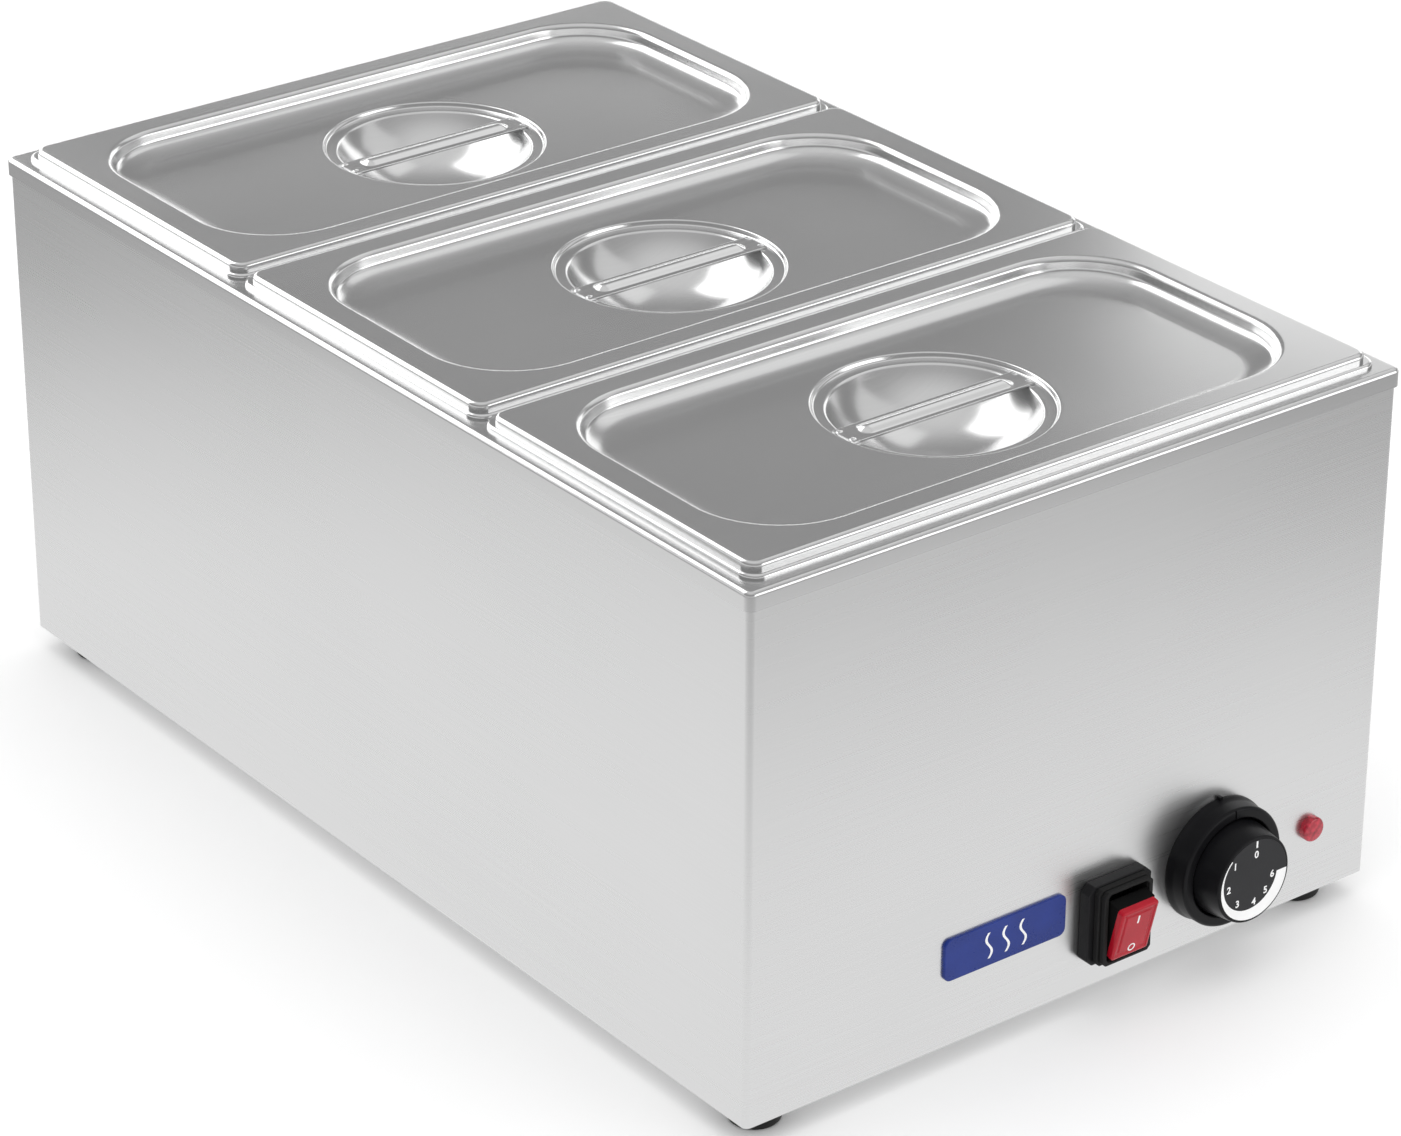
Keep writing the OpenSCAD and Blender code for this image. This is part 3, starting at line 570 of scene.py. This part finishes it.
def knob():
    """Ring, knob and printed disc; gives back the height of the disc's face over the panel."""
    at = on_panel(knob_centre.x, knob_centre.z)
    ring = [(28, 0), (28, 0.8), (27.75, 1.8), (27.35, 3), (27.15, 4.4), (27.1, 9.2)]
    ring += arc(25.6, 9.5, 1.5, 0, 90, 6) + [(23.9, 11)]
    ring += arc(23.1, 10.1, 0.9, 90, 180, 6)
    ring += [(22.2, 2.6), (22.0, 2.4), (5.3, 2.4), (5.3, 0.0)]
    bezel = lathe("bezel", ring, at, closed=True)
    groove = block("groove", (0.9, 9, 2), (0, 25, 11.4), at, 0.1)
    wells = [cylinder(f"well_{k}", 3.8, -1, 5, at @ Matrix.Translation((x*MM, 0, 0)), 32)
             for k, x in enumerate((-14, 14))]
    cut(bezel, [groove] + wells)
    settle(bezel, "unit", "gloss_black", gloss_black, "knob_bezel")
    nub = block("bezel_nub", (1.6, 1.8, 2), (0, 28.4, 1.0), at)
    settle(nub, "unit", "gloss_black", gloss_black)

    out = (panel_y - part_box("dial_plate")[0].y)/MM
    face = out - 0.1
    skirt = [(19.2, 3), (21.1, 3), (21.45, 3.3), (21.5, 3.8), (21.3, 11)]
    skirt += arc(18.9, out - 1.1, 0.8, 0, 90, 6) + [(18.6, out - 0.3), (18.4, out - 0.35)]
    skirt += [(0.8, out - 0.35)]
    inner = [(5, 4), (6.5, 4), (6.6, out - 4), (17, out - 4)]
    bm = bmesh.new()
    loft(bm, round_rings(inner + skirt, 96))
    dial = make(bm, "knob", at)
    settle(dial, "knob", "gloss_black", gloss_black, "control_knob")

    plate = [(18.35, out - 0.42), (18.35, out - 0.22), (18.2, face), (17.9, face), (0.8, face)]
    disc = lathe("dial_face", plate, at)
    settle(disc, "knob", "dial_grey", dial_grey, "dial_plate")
    return face


def glyph(bm, text, size, x, y, z, weight):
    """Adds flat raised type, centred on a point, in millimetres."""
    curve = bpy.data.curves.new("type", "FONT")
    curve.body = text
    curve.size = size*MM
    curve.extrude = 0.03*MM
    curve.offset = weight*MM
    curve.align_x = "CENTER"
    curve.align_y = "CENTER"
    holder = bpy.data.objects.new("type", curve)
    bpy.context.scene.collection.objects.link(holder)
    bpy.context.view_layer.update()
    flat = bpy.data.meshes.new_from_object(holder.evaluated_get(bpy.context.evaluated_depsgraph_get()))
    flat.transform(Matrix.Translation(Vector((x, y, z))*MM))
    bm.from_mesh(flat)
    bpy.data.objects.remove(holder)
    bpy.data.meshes.remove(flat)


def dial_marks(out):
    """Numbers, off mark and the swelling heat band printed on the knob's face."""
    type_size, type_weight, ink = 4.5, 0.1, 0.06
    bm = bmesh.new()
    level = out + ink/2
    numbers = (("1", -11.0, 9.7), ("2", -14.0, -0.4), ("3", -8.7, -8.7), ("4", 0.6, -10.6),
               ("5", 6.9, -7.2), ("6", 10.3, -0.7))
    for text, x, y in numbers:
        glyph(bm, text, type_size, x, y, level, type_weight)
    glyph(bm, "0", type_size, 0.75, 11.6, level, type_weight)
    tick = [(0.35, 14.9), (1.25, 14.9), (1.25, 18.0), (0.35, 18.0)]
    loft(bm, prism(tick, out, out + ink), fill_first=True)
    outer, inner, shift = 18.25, 15.0, Vector((-2.05, 1.75))
    steps, first_turn, band_turn = 64, 135, 225
    band_in, band_out = [], []
    for k in range(steps + 1):
        turn = math.radians(first_turn + band_turn*k/steps)
        ray = Vector((math.cos(turn), math.sin(turn)))
        along = shift.dot(ray)
        reach = along + math.sqrt(along*along - shift.length_squared + inner*inner)
        band_in.append(ray*min(reach, outer - 0.35))
        band_out.append(ray*outer)
    rows = [[bm.verts.new(Vector((p.x, p.y, z))*MM) for p in line]
            for line, z in ((band_out, out), (band_out, out + ink), (band_in, out + ink), (band_in, out))]
    for a, b in zip(rows, rows[1:]):
        for k in range(steps):
            bm.faces.new((a[k], a[k + 1], b[k + 1], b[k]))
    bmesh.ops.recalc_face_normals(bm, faces=bm.faces)
    marks = make(bm, "dial_marks", on_panel(knob_centre.x, knob_centre.z), sharp=30)
    settle(marks, "knob", "dial_grey", print_white)


# ---- switch ----
def octagon(half_x, half_y, chamfer):
    """Rectangle with its corners cut off."""
    return [(half_x, chamfer - half_y), (half_x, half_y - chamfer), (half_x - chamfer, half_y),
            (chamfer - half_x, half_y), (-half_x, half_y - chamfer), (-half_x, chamfer - half_y),
            (chamfer - half_x, -half_y), (half_x - chamfer, -half_y)]


def hollow(bm, outer, inner, low, high):
    """Frame between two outlines with equal point counts."""
    rings = [[(x, y, low) for x, y in outer], [(x, y, high) for x, y in outer],
             [(x, y, high) for x, y in inner], [(x, y, low) for x, y in inner]]
    loft(bm, rings, fill_last=False, closed=True)


TILT = 14


def switch():
    """Frame, stepped rubber collar, black rocker and its red window with the usual on and off marks."""
    at = on_panel(switch_centre.x, switch_centre.z)
    bm = bmesh.new()
    hollow(bm, octagon(17, 18.45, 3), octagon(12.2, 16.6, 1), 0, 5.7)
    bevel_sharp(bm, 0.5)
    frame_piece = make(bm, "switch_surround", at)
    settle(frame_piece, "unit", "black_plastic", satin_black, "switch_frame")
    bm = bmesh.new()
    hollow(bm, octagon(14.2, 17.9, 1.8), octagon(11.6, 16.2, 1.2), 5.8, 8.6)
    hollow(bm, octagon(13.1, 17.3, 1.8), octagon(10.9, 15.9, 1.2), 8.7, 11.2)
    hollow(bm, octagon(12.2, 16.6, 1.4), octagon(10.6, 15.6, 1.0), 1.0, 10.4)
    bevel_sharp(bm, 0.45)
    seal = make(bm, "switch_collar", at)
    settle(seal, "unit", "rubber_black", rubber, "switch_seal")

    pivot = Vector(JOINTS["press_rocker"]["pos_m"])
    tilt = math.radians(TILT)
    tilted = on_panel(switch_centre.x, pivot.z, panel_y - pivot.y) @ Matrix.Rotation(tilt, 4, "X")
    side = [(-6, -5.5), (6, -5.5), (13.2, 0), (13.1, 5.8), (-13.1, 5.8), (-13.2, 0)]
    bm = bmesh.new()
    loft(bm, [[(x, y, z) for y, z in side] for x in (-10, 10)], fill_first=True)
    bmesh.ops.recalc_face_normals(bm, faces=bm.faces)
    bevel_sharp(bm, 0.4)
    base = make(bm, "rocker_core", tilted)
    # the core takes the darker, duller black rather than the frame's: painted shade in the switch well
    settle(base, "rocker", "black_plastic", well_painted_shade_black, "rocker_base")

    profile = [(0, 5.8), (0, 8.2), (0.2, 8.7), (0.7, 9.0), (1.3, 9.0), (1.7, 8.6), (2.9, 8.5),
               (3.3, 8.9), (3.7, 8.98)]
    shade, panel = 1, 2
    # the groove rows take the much darker red, painted shade in the groove
    groove_rows = (4, 5, 6)
    bm = bmesh.new()
    rows = loft(bm, rect_rings(9.9, 12.9, 1.4, profile), fill_first=True)
    for k in groove_rows:
        inside = {f for v in rows[k] for f in v.link_faces}
        for f in inside & {f for v in rows[k + 1] for f in v.link_faces}:
            f.material_index = shade
    # the flat inner face takes the lighter red, painted light; the border keeps the plain lens red
    for f in set.intersection(*(set(v.link_faces) for v in rows[-1][:3])):
        f.material_index = panel
    cap = make(bm, "rocker_window", tilted)
    settle(cap, "rocker", "red_lens", red_lens, "rocker_cap")
    cap.data.materials.append(red_groove_painted_shade)
    cap.data.materials.append(red_panel_painted_light)
    bm = bmesh.new()
    loft(bm, rect_rings(0.45, 2.1, 0.3, [(0, 0.0), (0, 0.06)]), fill_first=True)
    bmesh.ops.translate(bm, verts=bm.verts, vec=Vector((0, 6.6, 8.96))*MM)
    ring = round_rings([(1.95, 8.96), (1.95, 9.04), (1.35, 9.04), (1.35, 8.96)], 32)
    ring = [[(x, y - 8.6, z) for x, y, z in row] for row in ring]
    loft(bm, ring, fill_last=False, closed=True)
    marks = make(bm, "rocker_marks", tilted, sharp=30)
    settle(marks, "rocker", "red_lens", print_white)


def lamp():
    """Domed lens with a collar."""
    at = on_panel(lamp_centre.x, lamp_centre.z)
    dome = [(5.6, 0), (5.6, 2.0)] + arc(4.3, 2.2, 1.3, 8, 78, 6) + [(3.2, 3.72), (1.8, 3.86), (0.6, 3.9)]
    lens = lathe("lamp_window", dome, at, 64)
    settle(lens, "unit", "red_lens", lamp_red, "lamp_lens")


def nameplate():
    """Plain blue plate with three wavy lines."""
    steps, swing, height, half_line, face, ink = 28, 1.5, 12, 0.6, 1.5, 0.06
    low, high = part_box("nameplate")
    half_x, half_y = (high.x - low.x)/2/MM, (high.z - low.z)/2/MM
    at = on_panel(plate_centre.x, plate_centre.z)
    bm = bmesh.new()
    loft(bm, rect_rings(half_x, half_y, 3.5, [(0, 0), (0, 1.1), (0.15, 1.35), (0.5, face)]))
    plate = make(bm, "blue_plate", at)
    settle(plate, "unit", "blue_enamel", blue_enamel, "nameplate")
    bm = bmesh.new()
    section = ((-half_line, face), (-half_line, face + ink), (half_line, face + ink), (half_line, face))
    for x0 in (-9, 0, 9):
        line = [(x0 + swing*math.sin(math.tau*k/steps), height*(k/steps - 0.5)) for k in range(steps + 1)]
        rows = [[bm.verts.new(Vector((x + dx, y, z))*MM) for x, y in line] for dx, z in section]
        for a, b in zip(rows, rows[1:]):
            for k in range(steps):
                bm.faces.new((a[k], a[k + 1], b[k + 1], b[k]))
    bmesh.ops.recalc_face_normals(bm, faces=bm.faces)
    waves = make(bm, "plate_waves", at, sharp=30)
    settle(waves, "unit", "blue_enamel", print_white)


# ---- studio ----
def camera():
    """Camera at the photograph's angle and distance."""
    azimuth, elevation = math.radians(-37.15), math.radians(26.02)
    distance = 2.1677
    back = Vector((math.sin(azimuth)*math.cos(elevation), -math.cos(azimuth)*math.cos(elevation),
                   math.sin(elevation)))
    target = Vector((0.0, 0.0048, 0.1301))
    data = bpy.data.cameras.new("camera")
    data.sensor_width = 36.0
    data.lens = 127.1
    data.shift_x = 0.0219
    data.shift_y = -0.0453
    obj = bpy.data.objects.new("camera", data)
    obj.location = target + back*distance
    obj.rotation_mode = "QUATERNION"
    obj.rotation_quaternion = (-back).to_track_quat("-Z", "Y")
    bpy.context.scene.collection.objects.link(obj)
    bpy.context.scene.camera = obj


def area_light(name, place, target, size, size_y, power):
    """Soft light that reflections don't see."""
    data = bpy.data.lights.new(name, "AREA")
    data.shape = "RECTANGLE"
    data.size = size
    data.size_y = size_y
    data.energy = power
    obj = bpy.data.objects.new(name, data)
    obj.location = place
    obj.rotation_mode = "QUATERNION"
    obj.rotation_quaternion = (Vector(target) - Vector(place)).to_track_quat("-Z", "Y")
    obj.visible_glossy = False
    bpy.context.scene.collection.objects.link(obj)


def floor():
    """Plain pale table."""
    half_size = 6.0
    m = Nodes("floor_white")
    soft = m.noise((2.0, 2.0, 2.0), 2.0)
    m.link(m.mixed(m.spread(soft, 0.0, 1.0), (0.89, 0.89, 0.89), (0.91, 0.91, 0.91)),
           m.shader.inputs["Base Color"])
    m.set(Roughness=0.9)
    bm = bmesh.new()
    bmesh.ops.create_grid(bm, x_segments=2, y_segments=2, size=half_size)
    plane = make(bm, "floor")
    plane.data.materials.append(m.material)


def glow_material(name, glow):
    """Even grey light."""
    material = bpy.data.materials.new(name)
    material.use_nodes = True
    tree = material.node_tree
    tree.nodes.clear()
    light = tree.nodes.new("ShaderNodeEmission")
    light.inputs["Color"].default_value = (glow, glow, glow, 1)
    out = tree.nodes.new("ShaderNodeOutputMaterial")
    tree.links.new(light.outputs[0], out.inputs["Surface"])
    return material


def card(name, points, faces, material):
    """Studio card that only reflections see."""
    mesh = bpy.data.meshes.new(name)
    mesh.from_pydata(points, [], faces)
    mesh.materials.append(material)
    obj = bpy.data.objects.new(name, mesh)
    bpy.context.scene.collection.objects.link(obj)
    for kind in ("camera", "diffuse", "shadow", "transmission", "volume_scatter"):
        setattr(obj, f"visible_{kind}", False)


def softbox(name, headings, heights, glow, distance=3.0):
    """Curved card between two headings (degrees from +Y towards +X) and two elevations."""
    across, up, eye_height = 16, 6, 0.2
    points = []
    for i in range(across + 1):
        turn = math.radians(headings[0] + (headings[1] - headings[0])*i/across)
        for j in range(up + 1):
            rise = math.radians(heights[0] + (heights[1] - heights[0])*j/up)
            points.append((distance*math.sin(turn)*math.cos(rise), distance*math.cos(turn)*math.cos(rise),
                           distance*math.sin(rise) + eye_height))
    row = up + 1
    faces = [(i*row + j, i*row + j + 1, (i + 1)*row + j + 1, (i + 1)*row + j)
             for i in range(across) for j in range(up)]
    card(name, points, faces, glow_material(name, glow))


def table_glow():
    """White table that fades to grey with distance, seen only by reflections, so that upright panels
    darken towards their tops."""
    m = Nodes("table_glow")
    m.tree.nodes.remove(m.shader)
    light = m.add("ShaderNodeEmission")
    reach = m.add("ShaderNodeVectorMath", operation="LENGTH")
    m.link(m.place, reach.inputs[0])
    ramp = m.add("ShaderNodeValToRGB")
    m.link(m.sum(reach.outputs["Value"], 0.5, "MULTIPLY"), ramp.inputs["Fac"])
    fade = ((0.0, 1.02), (0.21, 1.0), (0.29, 0.88), (0.36, 0.66), (0.42, 0.5), (0.6, 0.45))
    paint_ramp(ramp.color_ramp, fade)
    m.link(ramp.outputs["Color"], light.inputs["Color"])
    out = next(node for node in m.tree.nodes if node.type == "OUTPUT_MATERIAL")
    m.link(light.outputs[0], out.inputs["Surface"])
    far, lift = 5.0, 0.001
    corners = [(-far, -far, lift), (far, -far, lift), (far, far, lift), (-far, far, lift)]
    card("table_glow", corners, [(0, 1, 2, 3)], m.material)


def paint_ramp(ramp, stops):
    """Greys at the given positions of a colour ramp."""
    while len(ramp.elements) < len(stops):
        ramp.elements.new(0.5)
    for stop, (position, grey) in zip(ramp.elements, stops):
        stop.position = position
        stop.color = (grey, grey, grey, 1)


def world():
    """Even studio: darker bands for the metal to reflect, plain light for everything else."""
    sky = bpy.data.worlds.new("studio")
    bpy.context.scene.world = sky
    sky.use_nodes = True
    tree = sky.node_tree
    tree.nodes.clear()
    out = tree.nodes.new("ShaderNodeOutputWorld")
    bands = tree.nodes.new("ShaderNodeBackground")
    even = tree.nodes.new("ShaderNodeBackground")
    even.inputs["Color"].default_value = (1.0, 1.0, 1.0, 1)
    path = tree.nodes.new("ShaderNodeLightPath")
    mix = tree.nodes.new("ShaderNodeMixShader")
    place = tree.nodes.new("ShaderNodeTexCoord")
    split = tree.nodes.new("ShaderNodeSeparateXYZ")
    ramp = tree.nodes.new("ShaderNodeValToRGB")
    tree.links.new(place.outputs["Generated"], split.inputs[0])
    tree.links.new(split.outputs["Z"], ramp.inputs["Fac"])
    tree.links.new(ramp.outputs["Color"], bands.inputs["Color"])
    tree.links.new(path.outputs["Is Glossy Ray"], mix.inputs["Fac"])
    tree.links.new(even.outputs[0], mix.inputs[1])
    tree.links.new(bands.outputs[0], mix.inputs[2])
    tree.links.new(mix.outputs[0], out.inputs["Surface"])
    stops = ((0.0, 1.0), (0.15, 0.9), (0.25, 0.34), (0.34, 0.3), (0.5, 0.34), (0.75, 0.5), (0.95, 0.8))
    paint_ramp(ramp.color_ramp, stops)


def lights():
    """Cards placed where the lids, handles and dishes reflect them, and one soft light for the rest."""
    world()
    table_glow()
    softbox("softbox_back_left", (-44, 10), (0, 60), 2.5)
    softbox("softbox_back", (10, 21), (0, 24), 1.9)
    softbox("softbox_back_right", (52, 84), (36, 62), 1.0)
    softbox("softbox_right", (84, 126), (30, 62), 0.8)
    softbox("softbox_low", (47, 76), (0, 25), 1.7)
    softbox("softbox_front_right", (128, 170), (1, 28), 2.3)
    softbox("softbox_slot", (20, 44), (6, 15), 2.3, 2.95)
    softbox("dark_card", (22, 45), (-4, 5), 0.1, 2.9)
    area_light("overhead", (-0.25, -0.35, 1.7), (0, 0, 0.1), 2.2, 2.4, 14)


finish_cad_nodes()
body_shell()
water_tank()
for corner in ("front_left", "front_right", "rear_left", "rear_right"):
    foot(corner)
for row in ROWS:
    pan(row)
    lid(row)
    handle(row)
dial_marks(knob())
switch()
lamp()
nameplate()
camera()
lights()
floor()
bpy.context.scene.view_settings.view_transform = "Standard"
